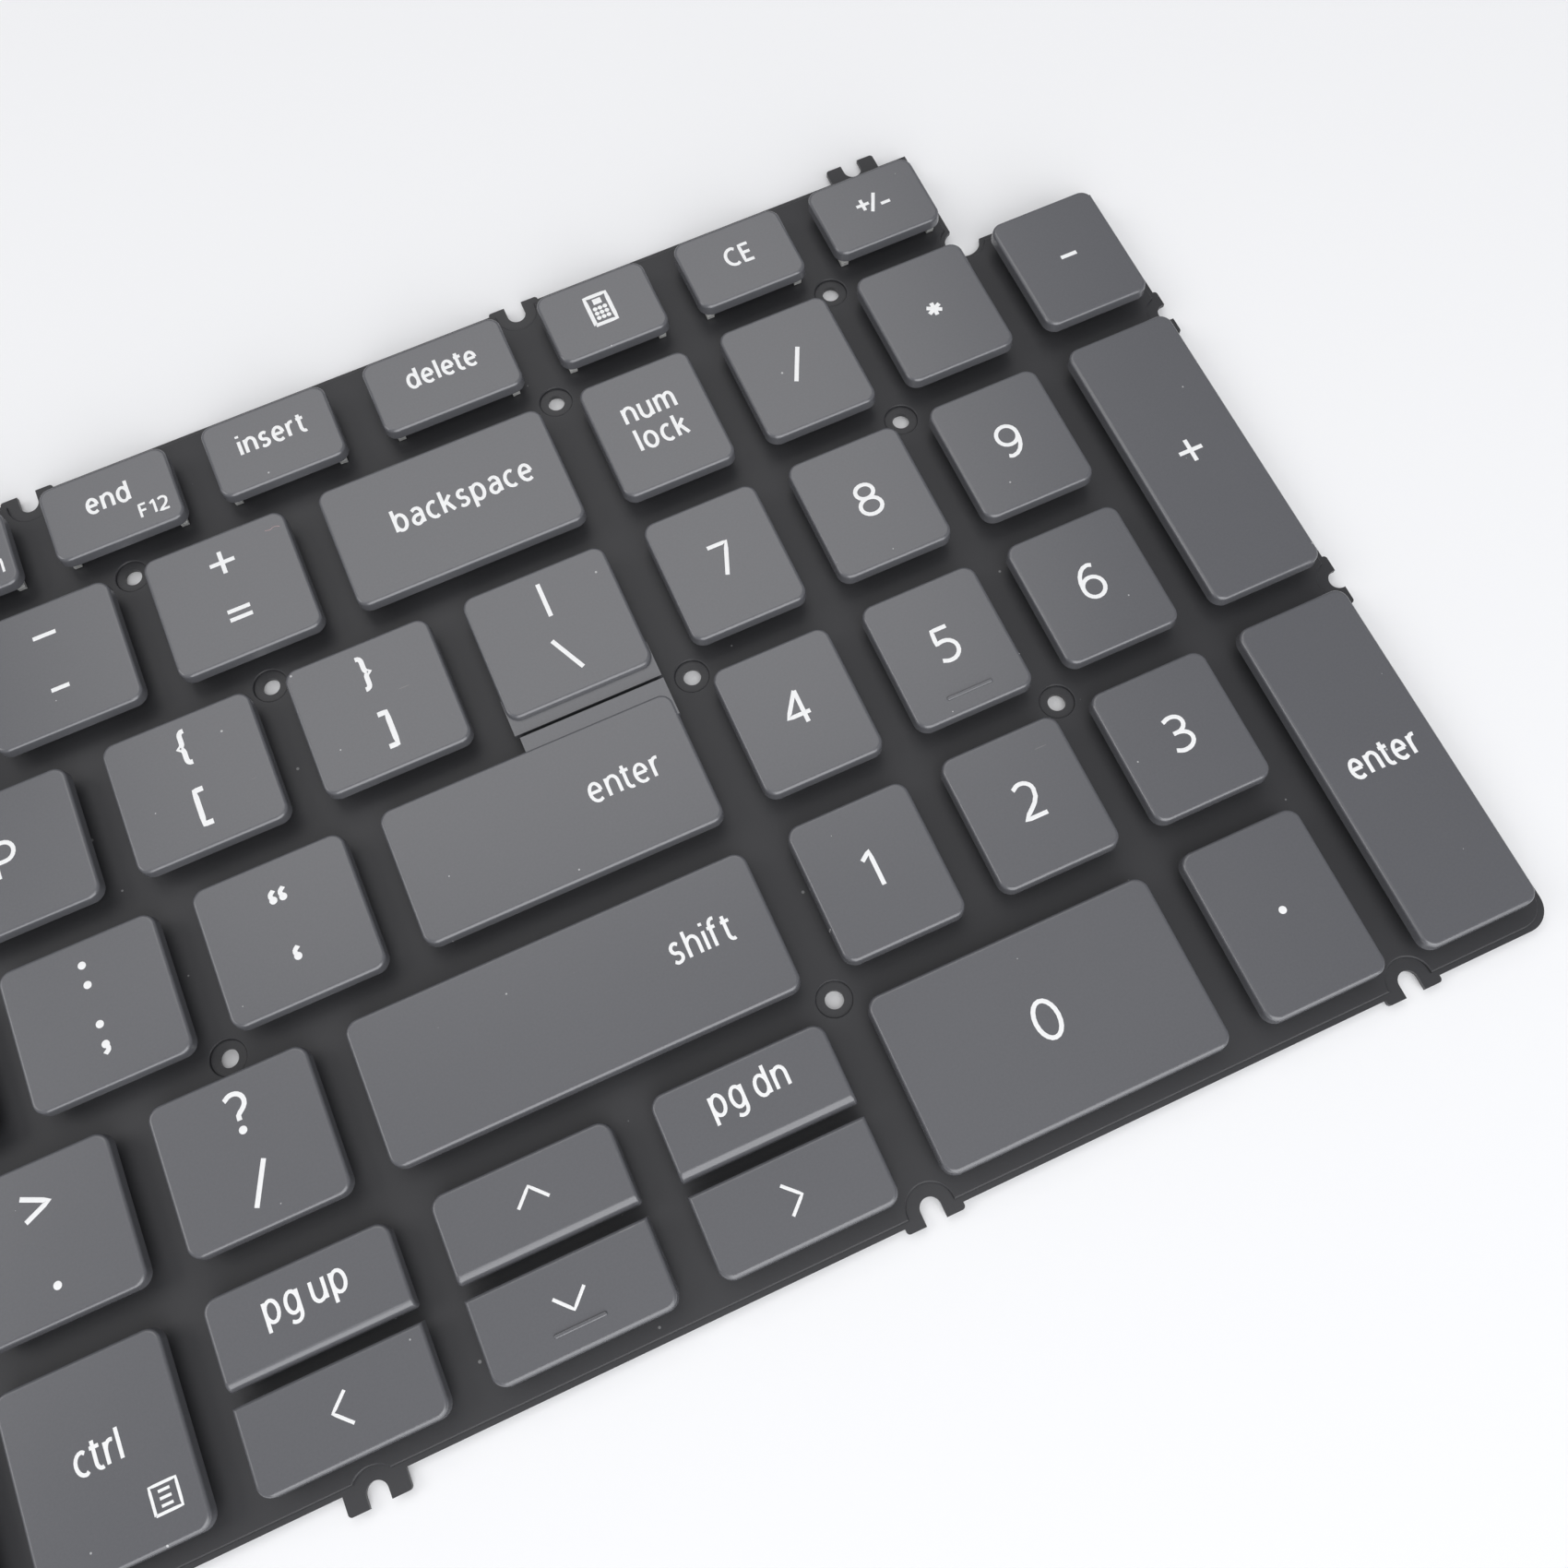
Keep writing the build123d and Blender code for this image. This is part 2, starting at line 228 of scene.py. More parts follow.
# Key places: the caps' own boxes. The caps of the left end are one group, so a copy of it is parted
# into its single caps, read row by row, and thrown away.
left_rows = [
    ["esc", "f1", "f2", "f3", "f4", "f5", "f6", "f7", "f8"],
    ["grave", "1", "2", "3", "4", "5", "6", "7", "8"],
    ["tab", "q", "w", "e", "r", "t", "y", "u"],
    ["caps_lock", "a", "s", "d", "f", "g", "h", "j"],
    ["left_shift", "z", "x", "c", "v", "b", "n", "m"],
    ["left_ctrl", "fn", "home", "left_alt"],
]


def box_of(piece):
    """Lowest and highest corner of a mesh."""
    places = [vertex.co for vertex in piece.data.vertices]
    low = Vector([min(place[axis] for place in places) for axis in range(3)])
    high = Vector([max(place[axis] for place in places) for axis in range(3)])
    return low, high


def left_boxes():
    """Boxes of the left caps, by name."""
    copy = nodes["left_keys"].copy()
    copy.data = copy.data.copy()
    bpy.context.collection.objects.link(copy)
    bpy.context.view_layer.objects.active = copy
    copy.select_set(True)
    bpy.ops.object.mode_set(mode="EDIT")
    bpy.ops.mesh.select_all(action="SELECT")
    bpy.ops.mesh.remove_doubles(threshold=0.000001)
    bpy.ops.mesh.separate(type="LOOSE")
    bpy.ops.object.mode_set(mode="OBJECT")
    caps = list(bpy.context.selected_objects)
    boxes = sorted((box_of(cap) for cap in caps), key=lambda box: (-round(box[0].y, 4), box[0].x))
    bpy.ops.object.delete()
    names = [name for row in left_rows for name in row]
    return dict(zip(names, boxes))


key_boxes = {name[4:]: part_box(name) for name in nodes if name.startswith("key_")}
moving = list(key_boxes)
key_boxes |= left_boxes()
for key, neighbour in [("backslash", "right_bracket"), ("enter", "quote")]:
    for corner, row_corner in zip(key_boxes[key], key_boxes[neighbour]):
        corner.y = row_corner.y
cap_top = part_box("key_enter")[1].z
floor_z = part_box("switch_membrane")[1].z


def middle_of(key):
    """Middle of a key's cap, seen from above."""
    low, high = key_boxes[key]
    return (low + high) / 2


def top_of(key):
    """Width and depth of a cap's top, which is a little smaller than its foot."""
    cap_flare = 0.1 * MM
    low, high = key_boxes[key]
    return high.x - low.x - 2 * cap_flare, high.y - low.y - 2 * cap_flare


# Rubber domes: one under each cap, moulded in grey silicone. A flat flange is glued to the membrane
# and a hollow cone stands on it. The dome folds in when its key is pressed, and springs back.
cap_under = cap_top - 0.75 * MM


def pick_faces(piece, wanted):
    """Selects the faces of a piece in edit mode that pass a test."""
    bpy.ops.mesh.select_mode(type="FACE")
    bpy.ops.mesh.select_all(action="DESELECT")
    bpy.ops.object.mode_set(mode="OBJECT")
    for face in piece.data.polygons:
        face.select = wanted(face)
    bpy.ops.object.mode_set(mode="EDIT")


def put_copy(master, name, place, turn=0):
    """A copy of a piece with its own mesh, turned about the vertical and set at its place."""
    copy = master.copy()
    copy.name = name
    copy.data = master.data.copy()
    bpy.context.collection.objects.link(copy)
    copy.data.transform(Matrix.Translation(place) @ Matrix.Rotation(turn, 4, "Z"))
    return copy


def joined(pieces, name):
    """Several pieces as one."""
    bpy.ops.object.select_all(action="DESELECT")
    for piece in pieces:
        piece.select_set(True)
    bpy.context.view_layer.objects.active = pieces[0]
    bpy.ops.object.join()
    pieces[0].name = name
    return pieces[0]


def follow_press(piece, node=None):
    """A piece under a moving cap stays with the base, hides the part it stands for if one is named, and gets
    its own mesh.
    """
    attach(piece, "base")
    if node:
        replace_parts(piece, node)
    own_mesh(piece)


def rubber_dome():
    """One dome on the origin: flange, cone with a stepped top, and the hollow under it."""
    base_r, skirt_r, top_r, bore_r = (r * MM for r in (1.9, 1.5, 1.3, 0.8))
    flange_t, step_t, wall = (t * MM for t in (0.3, 0.45, 0.5))
    height = cap_under - floor_z
    bpy.ops.object.select_all(action="DESELECT")
    bpy.ops.mesh.primitive_cylinder_add(vertices=12, radius=base_r, depth=flange_t)
    dome = bpy.context.object
    bpy.ops.object.mode_set(mode="EDIT")
    bpy.ops.mesh.select_all(action="SELECT")
    bpy.ops.transform.translate(value=(0, 0, flange_t / 2))
    pick_faces(dome, lambda face: face.normal.z > 0.9)
    for rise, shrink in [(height - flange_t - step_t, skirt_r / base_r), (step_t, top_r / skirt_r)]:
        bpy.ops.mesh.extrude_region_move(TRANSFORM_OT_translate={"value": (0, 0, rise)})
        bpy.ops.transform.resize(value=(shrink, shrink, 1))
    pick_faces(dome, lambda face: face.normal.z < -0.9)
    bpy.ops.mesh.inset(thickness=base_r - bore_r)
    bpy.ops.mesh.extrude_region_move(TRANSFORM_OT_translate={"value": (0, 0, height - wall)})
    bpy.ops.mesh.select_all(action="SELECT")
    bpy.ops.mesh.normals_make_consistent(inside=False)
    bpy.ops.object.mode_set(mode="OBJECT")
    bpy.ops.object.shade_smooth_by_angle(angle=math.radians(35))
    return dome


dome_rubber = grained(
    "dome_grey_rubber",
    grain=3000,
    cloud=200,
    tints=[(0.20, 0.20, 0.20), (0.27, 0.27, 0.26)],
    gloss=(0.5, 0.68),
    relief=(0.1, 0.00001),
)

master = rubber_dome()
dress(master, dome_rubber)
left_domes = []
for key in key_boxes:
    middle = middle_of(key)
    dome = put_copy(master, "dome_" + key, Vector((middle.x, middle.y, floor_z)))
    if key in moving:
        follow_press(dome, "rubber_domes")
    else:
        left_domes.append(dome)
bpy.data.objects.remove(master)
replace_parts(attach(joined(left_domes, "left_domes"), "base"), "rubber_domes")


# Scissor links: two U frames under each cap, moulded in milky plastic, which cross and keep it level.
# Each has its prongs in hooks of the plate and its cross bar in the cap. The short keys' prongs reach
# so far forward that their pale ends show under the front corners of the function row.
link_t = 0.6 * MM
link_arm = 0.8 * MM
link_clear = 0.25 * MM
link_low = floor_z + 0.4 * MM
link_high = cap_under - 0.4 * MM


def link_frame(half_w, low_end, high_end):
    """A U frame about its pivot, with its cross bar at the rear. It slopes up to the bar."""
    bpy.ops.object.select_all(action="DESELECT")
    bpy.ops.mesh.primitive_cube_add(size=1)
    frame_piece = bpy.context.object
    bpy.ops.object.mode_set(mode="EDIT")
    bpy.ops.transform.resize(value=(2 * half_w, link_arm, link_t))
    bpy.ops.transform.translate(value=(0, high_end - link_arm / 2, 0))
    for side in (-1, 1):
        bpy.ops.mesh.select_all(action="SELECT")
        bpy.ops.mesh.bisect(plane_co=(side * (half_w - link_arm), 0, 0), plane_no=(1, 0, 0))
    prong_x = half_w - link_arm
    pick_faces(frame_piece, lambda face: face.normal.y < -0.9 and abs(face.center.x) > prong_x)
    reach = low_end + high_end - link_arm
    bpy.ops.mesh.extrude_region_move(TRANSFORM_OT_translate={"value": (0, -reach, 0)})
    bpy.ops.object.mode_set(mode="OBJECT")
    slope = math.asin((link_high - link_low) / (low_end + high_end))
    pivot_z = link_low + low_end * math.sin(slope)
    frame_piece.data.transform(Matrix.Translation((0, 0, pivot_z)) @ Matrix.Rotation(slope, 4, "X"))
    return frame_piece


def link_sizes(key):
    """Half width and reach to both ends of a key's outer frame."""
    row_w, row_d = top_of("quote")
    width, depth = top_of(key)
    short = depth < row_d - 0.1 * MM
    side_margin = (0.6 if short else 1.7) * MM
    low_margin = (0.6 if short else 1.6) * MM
    high_margin = (0.9 if short else 1.6) * MM
    reach = min(depth, row_d) / 2
    sizes = (min(width, row_w) / 2 - side_margin, reach - low_margin, reach - high_margin)
    return tuple(round(size, 6) for size in sizes)


link_plastic = grained(
    "link_milky_plastic",
    grain=4000,
    cloud=250,
    tints=[(0.52, 0.52, 0.50), (0.64, 0.64, 0.62)],
    gloss=(0.32, 0.46),
    relief=(0.08, 0.00001),
)

link_masters = {}
left_links = []
for key in key_boxes:
    half_w, low_end, high_end = link_sizes(key)
    middle = middle_of(key)
    pair = []
    for width, turn in [(half_w, 0), (half_w - link_arm - link_clear, math.pi)]:
        sizes = (width, low_end, high_end)
        if sizes not in link_masters:
            link_masters[sizes] = link_frame(*sizes)
            dress(link_masters[sizes], link_plastic)
        pair.append(put_copy(link_masters[sizes], "link", Vector((middle.x, middle.y, 0)), turn))
    links = joined(pair, "links_" + key)
    if key in moving:
        follow_press(links, "scissor_links")
    else:
        left_links.append(links)
for master in link_masters.values():
    bpy.data.objects.remove(master)
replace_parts(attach(joined(left_links, "left_links"), "base"), "scissor_links")


# Level bars: bent spring wire under each long cap, which keeps its two ends level. The long run turns
# in clips of the cap, and both ends bend down and in to hooks of the plate.
wire_r = 0.3 * MM
bend_r = 0.9 * MM
bar_least = 24.5 * MM
bar_end = 2.2 * MM
bar_rear = 1.0 * MM
bar_arm = 3.0 * MM


def level_bar(length, offset, arm):
    """A bar along X about the origin: a run at the rear, and at each end an arm down to the front."""
    run_z = cap_under - 0.05 * MM - wire_r
    foot_z = floor_z + 0.1 * MM + wire_r
    half = length / 2 - bend_r
    bpy.ops.object.select_all(action="DESELECT")
    bpy.ops.mesh.primitive_circle_add(vertices=8, radius=wire_r, rotation=(0, math.pi / 2, 0))
    bar = bpy.context.object
    bpy.ops.object.transform_apply(location=False, rotation=True, scale=False)
    bpy.ops.object.mode_set(mode="EDIT")
    bpy.ops.mesh.select_all(action="SELECT")
    bpy.ops.mesh.extrude_region_move(TRANSFORM_OT_translate={"value": (half, 0, 0)})
    bpy.ops.mesh.spin(steps=4, angle=-math.pi / 2, center=(half, -bend_r, 0), axis=(0, 0, 1))
    bpy.ops.mesh.extrude_region_move(TRANSFORM_OT_translate={"value": (0, -arm, 0)})
    bpy.ops.mesh.spin(steps=4, angle=-math.pi / 2, center=(half, -bend_r - arm, 0), axis=(0, 0, 1))
    bpy.ops.mesh.extrude_region_move(TRANSFORM_OT_translate={"value": (-bend_r, 0, 0)})
    bpy.ops.mesh.edge_face_add()
    bpy.ops.object.mode_set(mode="OBJECT")
    mirror = bar.modifiers.new("other half", "MIRROR")
    mirror.merge_threshold = 0.001 * MM
    bpy.ops.object.modifier_apply(modifier=mirror.name)
    bpy.ops.object.mode_set(mode="EDIT")
    bpy.ops.mesh.select_all(action="SELECT")
    bpy.ops.mesh.normals_make_consistent(inside=False)
    bpy.ops.object.mode_set(mode="OBJECT")
    bpy.ops.object.shade_smooth_by_angle(angle=math.radians(50))
    tilt = math.asin((run_z - foot_z) / (arm + 2 * bend_r))
    bar.data.transform(Matrix.Translation((0, offset, run_z)) @ Matrix.Rotation(tilt, 4, "X"))
    return bar


bar_steel = grained(
    "bar_spring_steel",
    grain=5000,
    cloud=400,
    tints=[(0.46, 0.46, 0.46), (0.60, 0.60, 0.59)],
    gloss=(0.24, 0.4),
    relief=(0.1, 0.00001),
    Metallic=1,
)

left_bars = []
for key in key_boxes:
    width, depth = top_of(key)
    if max(width, depth) < bar_least:
        continue
    upright = depth > width
    bar = level_bar(max(width, depth) - 2 * bar_end, min(width, depth) / 2 - bar_rear, bar_arm)
    bar.name = "level_bar_" + key
    middle = middle_of(key)
    turn = Matrix.Rotation(math.pi / 2 if upright else 0, 4, "Z")
    bar.data.transform(Matrix.Translation((middle.x, middle.y, 0)) @ turn)
    dress(bar, bar_steel)
    if key in moving:
        follow_press(bar)
    else:
        left_bars.append(bar)
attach(joined(left_bars, "left_level_bars"), "base")


# Legends: white ink on the caps, in a plain narrow sans lettering of even strokes. Each letter is a
# few strokes on a grid where a small letter is 1 high. A stroke is a run of points: one marked | or -
# runs upright or level there and is rounded up to it, one with no mark is a corner or an end, and one
# marked o is a dot.
letters = {
    "a": ".06,.88 .3,1- .55,.7| .55,0 / .55,.57 .32,.57- 0,.28| .23,0- .55,.27",
    "b": "0,1.4 0,0 / 0,.5| .31,1- .62,.5| .31,0- 0,.5|",
    "c": ".5,.91 .35,1- 0,.5| .35,0- .5,.09",
    "d": ".62,1.4 .62,0 / .62,.5| .31,1- 0,.5| .31,0- .62,.5|",
    "e": "0,.52 .6,.52 / .6,.52| .31,1- 0,.5| .34,0- .56,.09",
    "f": ".13,0 .13,1.1| .36,1.42- .45,1.4 / -.04,1 .38,1",
    "g": ".6,.5| .3,1- 0,.5| .3,0- .6,.5| / .6,1 .6,-.08| .3,-.42- .06,-.34",
    "h": "0,1.4 0,0 / 0,.55| .33,1- .6,.62| .6,0",
    "i": "0,1 0,0 / 0,1.28 0,1.44",
    "k": "0,1.4 0,0 / .5,1 .02,.46 / .2,.66 .54,0",
    "l": "0,1.4 0,0",
    "m": "0,1 0,0 / 0,.58| .28,1- .5,.65| .5,0 / .5,.58| .78,1- 1,.65| 1,0",
    "n": "0,1 0,0 / 0,.55| .33,1- .6,.62| .6,0",
    "o": "0,.5| .32,1- .64,.5| .32,0- 0,.5|",
    "p": "0,1 0,-.4 / 0,.5| .31,1- .62,.5| .31,0- 0,.5|",
    "r": "0,1 0,0 / 0,.5| .26,1- .38,.98",
    "s": ".42,.9 .25,1- .02,.74| .23,.5- .46,.25| .2,0- 0,.1",
    "t": ".13,1.3 .13,.3| .33,0- .42,.03 / -.04,1 .4,1",
    "u": "0,1 0,.38| .27,0- .6,.45| / .6,1 .6,0",
    "A": "0,0 .45,1.34 .9,0 / .16,.46 .74,.46",
    "B": "0,0 0,1.34 .4,1.34- .72,1.02| .4,.71- 0,.71 / .4,.71- .8,.36| .4,0- 0,0",
    "C": ".78,1.22 .54,1.34- 0,.67| .54,0- .78,.12",
    "D": "0,0 0,1.34 .3,1.34- .86,.67| .3,0- 0,0",
    "E": ".62,1.34 0,1.34 0,0 .62,0 / 0,.7 .56,.7",
    "F": ".6,1.34 0,1.34 0,0 / 0,.7 .54,.7",
    "G": ".84,1.2 .54,1.34- 0,.67| .54,0- .86,.1 .86,.64 .54,.64",
    "H": "0,0 0,1.34 / .78,0 .78,1.34 / 0,.7 .78,.7",
    "I": "0,0 0,1.34",
    "J": ".42,1.34 .42,.36| .14,0- 0,.06",
    "K": "0,0 0,1.34 / .68,1.34 .02,.6 / .22,.82 .74,0",
    "L": "0,1.34 0,0 .6,0",
    "M": "0,0 0,1.34 .52,.2 1.04,1.34 1.04,0",
    "N": "0,0 0,1.34 .84,0 .84,1.34",
    "O": "0,.67| .52,1.34- 1.04,.67| .52,0- 0,.67|",
    "P": "0,0 0,1.34 .36,1.34- .74,.98| .36,.6- 0,.6",
    "Q": "0,.67| .52,1.34- 1.04,.67| .52,0- 0,.67| / .56,.08 .92,-.3",
    "R": "0,0 0,1.34 .36,1.34- .74,.98| .36,.62- 0,.62 / .34,.62 .8,0",
    "S": ".7,1.22 .42,1.34- .04,1| .38,.69- .76,.34| .36,0- 0,.14",
    "T": "0,1.34 .84,1.34 / .42,1.34 .42,0",
    "U": "0,1.34 0,.45| .41,0- .82,.45| .82,1.34",
    "V": "0,1.34 .44,0 .88,1.34",
    "W": "0,1.34 .34,0 .66,1.2 .98,0 1.32,1.34",
    "X": "0,1.34 .8,0 / .8,1.34 0,0",
    "Y": "0,1.34 .42,.62 .84,1.34 / .42,.62 .42,0",
    "Z": "0,1.34 .76,1.34 0,0 .78,0",
    "0": "0,.67| .43,1.34- .86,.67| .43,0- 0,.67|",
    "1": "0,1.08 .36,1.34 .36,0",
    "2": ".04,1.2 .38,1.34- .76,.98| 0,0 .84,0",
    "3": ".04,1.25 .38,1.34- .74,1.03| .36,.71- .2,.71 / .36,.71- .8,.36| .34,0- 0,.1",
    "4": ".64,1.34 0,.38 .88,.38 / .64,1.34 .64,0",
    "5": ".72,1.34 .12,1.34 .07,.77 .36,.82- .78,.42| .34,0- 0,.09",
    "6": ".74,1.28 .56,1.34- 0,.5| / 0,.43| .42,.85- .84,.43| .42,0- 0,.43|",
    "7": "0,1.34 .78,1.34 .28,0",
    "8": ".43,.72- .07,1.03| .43,1.34- .79,1.03| .43,.72- / .43,.72- 0,.36| .43,0- .86,.36| .43,.72-",
    "9": ".1,.06 .28,0- .84,.84| / .84,.91| .42,.49- 0,.91| .42,1.34- .84,.91|",
    "+": "0,.67 1.02,.67 / .51,.16 .51,1.18",
    "=": "0,.86 .92,.86 / 0,.48 .92,.48",
    "-": "0,.67 .72,.67",
    "_": "0,.67 .92,.67",
    "{": ".42,1.5 .36,1.5- .2,1.3| .2,.98| 0,.75- .2,.52| .2,.2| .36,0- .42,0",
    "}": "0,1.5 .06,1.5- .22,1.3| .22,.98| .42,.75- .22,.52| .22,.2| .06,0- 0,0",
    "[": ".36,1.5 0,1.5 0,0 .36,0",
    "]": "0,1.5 .36,1.5 .36,0 0,0",
    "(": ".34,1.5 0,.75| .34,0",
    ")": "0,1.5 .34,.75| 0,0",
    "|": "0,1.5 0,0",
    "\\": "0,1.5 .72,0",
    "/": "0,0 .72,1.5",
    ".": "0,0o",
    ":": "0,0o / 0,.78o",
    ";": "0,0o / 0,-.05 .06,-.16| -.1,-.34 / 0,.78o",
    ",": "0,.3o / 0,.25 .06,.14| -.1,-.04",
    "“": "0,0o / 0,.05 -.06,.18| .1,.37 / .38,0o / .38,.05 .32,.18| .48,.37",
    "‘": "0,0o / 0,.05 -.06,.18| .1,.37",
    "<": ".94,1.1 0,.67 .94,.24",
    ">": "0,1.1 .94,.67 0,.24",
    "?": ".02,1.24 .34,1.38- .7,1.04| .36,.58 .36,.4 / .36,.04o",
    "!": "0,1.38 0,.42 / 0,.04o",
    "*": ".29,0 .29,.62 / 0,.155 .58,.465 / 0,.465 .58,.155",
    "@": ".74,.95| .52,1.02- .3,.66| .5,.34- .74,.6| / .74,1 .74,.6| .92,.36- 1.12,.72| .6,1.32- "
    "0,.66| .6,0- .96,.1",
    "#": ".2,0 .34,1.34 / .56,0 .7,1.34 / 0,.44 .84,.44 / .06,.9 .9,.9",
    "$": ".7,1.2 .42,1.3- .04,1| .38,.69- .76,.38| .36,.08- 0,.2 / .38,-.12 .38,1.5",
    "%": "0,1.04| .2,1.34- .4,1.04| .2,.74- 0,1.04| / .62,.3| .82,.6- 1.02,.3| .82,0- .62,.3| / "
    ".84,1.34 .18,0",
    "^": "0,.8 .36,1.34 .72,.8",
    "&": ".92,0 .2,.86 .14,1.06| .4,1.34- .64,1.08| .3,.72 / .3,.72 0,.36| .36,0- .84,.62",
    "~": "0,.6 .25,.78- .6,.6- .85,.78",
    "`": "0,1.34 .24,1.08",
    "up": "0,0 .5,.52 1,0",
    "down": "0,.52 .5,0 1,.52",
    "left": ".52,1 0,.5 .52,0",
    "right": "0,1 .52,.5 0,0",
    "ring": "0,.5| .5,1- 1,.5| .5,0- 0,.5|",
    "frame": "0,0 1,0 1,1 0,1 0,0",
    "tall_frame": "0,0 1,0 1,1.5 0,1.5 0,0",
    "bar": "0,0 1,0",
    "dot": "0,0o",
    "fibre": "0,.06 .3,0- .66,.1- 1,-.02",
}
letter_gap = 0.38
open_letters = "rtf"
open_gap = 0.24
word_gap = 0.3
ink_lift = 0.004 * MM
ink_half = 0.010 * MM
stroke_lift = 0.0012 * MM
dot_share = 0.85


def strokes_of(sign):
    """Strokes of a letter or sign: lists of (point, run), where run is |, -, o or nothing."""
    strokes = []
    for stroke in letters[sign].split(" / "):
        points = []
        for point in stroke.split():
            run = point[-1] if point[-1] in "|-o" else ""
            x, y = point.rstrip("|-o").split(",")
            points.append((Vector((float(x), float(y), 0)), run))
        strokes.append(points)
    return strokes


def handle_of(point, run, other):
    """Curve handle of a point on its side towards another one."""
    step = other - point
    quarter = 4 / 3 * (math.sqrt(2) - 1)
    if run == "|":
        return point + Vector((0, step.y * quarter, 0))
    if run == "-":
        return point + Vector((step.x * quarter, 0, 0))
    return point + step / 3


def gap_between(sign, following):
    """Gap after a letter. The letters with an open side stand closer to their neighbours."""
    if not following:
        return 0
    if following == " ":
        return word_gap
    return open_gap if sign in open_letters or following in "tf" else letter_gap


def add_dot(curve, place, radius):
    """A round dot: a short stroke as wide at each point as a disc is there."""
    steps = 8
    spline = curve.splines.new("POLY")
    turns = [math.pi * step / steps for step in range(steps + 1)]
    spline.points.add(len(turns) - 1)
    for knot, turn in zip(spline.points, turns):
        knot.co = (*(place - Vector((radius * math.cos(turn) * MM, 0, 0))), 1)
        knot.radius = max(radius * math.sin(turn), radius / 50)


def write(curve, text, x, y, size, stroke, align="middle"):
    """Adds a word or sign to a curve. x is its middle, left or right end; y the middle of its height."""
    signs = [text] if text in letters else list(text)
    shapes = []
    width = 0
    for sign, following in zip(signs, signs[1:] + [""]):
        if sign == " ":
            width += letter_gap
            continue
        strokes = strokes_of(sign)
        across = [point.x for points in strokes for point, run in points]
        shapes.append((strokes, width - min(across)))
        width += max(across) - min(across) + gap_between(sign, following)
    up = [point.y for strokes, shift in shapes for points in strokes for point, run in points]
    is_word = len(text) > 1 and text not in letters and text.islower()
    centre = 0.5 if is_word else (min(up) + max(up)) / 2
    start = {"middle": -width / 2, "left": 0, "right": -width}[align]
    for strokes, shift in shapes:
        for points in strokes:
            level = Vector((x, y, len(curve.splines) * stroke_lift / ink_half * stroke / 2)) * MM
            if points[0][1] == "o":
                place = points[0][0] + Vector((start + shift, -centre, 0))
                add_dot(curve, place * size * MM + level, stroke * dot_share)
                continue
            spline = curve.splines.new("BEZIER")
            spline.bezier_points.add(len(points) - 1)
            for at, (point, run) in enumerate(points):
                before = points[max(at - 1, 0)][0]
                after = points[min(at + 1, len(points) - 1)][0]
                knot = spline.bezier_points[at]
                knot.handle_left_type = "FREE"
                knot.handle_right_type = "FREE"
                for attribute, place in [
                    ("co", point),
                    ("handle_left", handle_of(point, run, before)),
                    ("handle_right", handle_of(point, run, after)),
                ]:
                    shifted = place + Vector((start + shift, -centre, 0))
                    setattr(knot, attribute, shifted * size * MM + level)
                knot.radius = stroke / 2


def legend_of(key, *marks):
    """All the ink on one cap as a flat mesh. Marks are (text, x, y, size, stroke, align) from its middle."""
    curve = bpy.data.curves.new("legend_" + key, "CURVE")
    curve.dimensions = "3D"
    curve.resolution_u = 5
    curve.bevel_depth = MM
    curve.bevel_resolution = 1
    curve.use_fill_caps = True
    for mark in marks:
        write(curve, *mark)
    piece = bpy.data.objects.new("legend_" + key, curve)
    bpy.context.collection.objects.link(piece)
    bpy.ops.object.select_all(action="DESELECT")
    bpy.context.view_layer.objects.active = piece
    piece.select_set(True)
    bpy.ops.object.convert(target="MESH")
    middle = middle_of(key)
    heaviest = max(mark[4] for mark in marks) / 2 * MM
    piece.scale.z = ink_half / heaviest
    piece.location = (middle.x, middle.y, cap_top + ink_lift)
    bpy.ops.object.transform_apply(location=True, rotation=False, scale=True)
    bpy.ops.object.shade_smooth_by_angle(angle=math.radians(40))
    return piece


word = (1.85, 0.335)
bold_word = (1.85, 0.385)
small_word = (1.66, 0.375)
number = (2.62, 0.43)
sign = (2.55, 0.45)
bracket = (2.4, 0.54)
brace = (2.3, 0.5)
tiny = (1.14, 0.27)
pair_up = 3.5
pair_down = -2.7
marks = {}
for name in "QWERTYUIOPASDFGHJKLZXCVBNM":
    marks[name.lower()] = [(name, 0, 0, *number)]
for upper, name in zip("!@#$%^&*()", "1234567890"):
    marks[name] = [(upper, 0, pair_up, *sign), (name, 0, pair_down, *sign)]
for key, upper, upper_y, lower, lower_y in [
    ("grave", "~", 3.5, "`", -2.0),
    ("minus", "_", 3.5, "-", -2.7),
    ("equals", "+", 3.68, "=", -2.45),
    ("backslash", "|", 3.6, "\\", -2.8),
    ("semicolon", ":", 3.66, ";", -2.75),
    ("quote", "“", 3.6, "‘", -2.4),
    ("comma", "<", 3.17, ",", -4.1),
    ("period", ">", 3.17, ".", -4.1),
    ("slash", "?", 3.55, "/", -3.17),
]:
    marks[key] = [(upper, 0.15, upper_y, *sign), (lower, 0.15, lower_y, *sign)]
for key, upper, lower in [("left_bracket", "{", "["), ("right_bracket", "}", "]")]:
    marks[key] = [(upper, 0.05, 3.7, *brace), (lower, 0.15, -2.85, *bracket)]
for name in "0123456789":
    marks["pad_" + name] = [(name, -0.3 if name == "1" else 0, 0.2, *number)]
for key, name in [("divide", "/"), ("multiply", "*"), ("subtract", "-"), ("add", "+"), ("dot", ".")]:
    marks["pad_" + key] = [(name, 0.1, 0.2, *sign)]
for key, text, margin, y, style in [
    ("backspace", "backspace", 3.4, 0.25, bold_word),
    ("enter", "enter", 3.7, 0.37, word),
    ("right_shift", "shift", 3.8, 0.5, word),
]:
    marks[key] = [(text, top_of(key)[0] / 2 / MM - margin, y, *style, "right")]
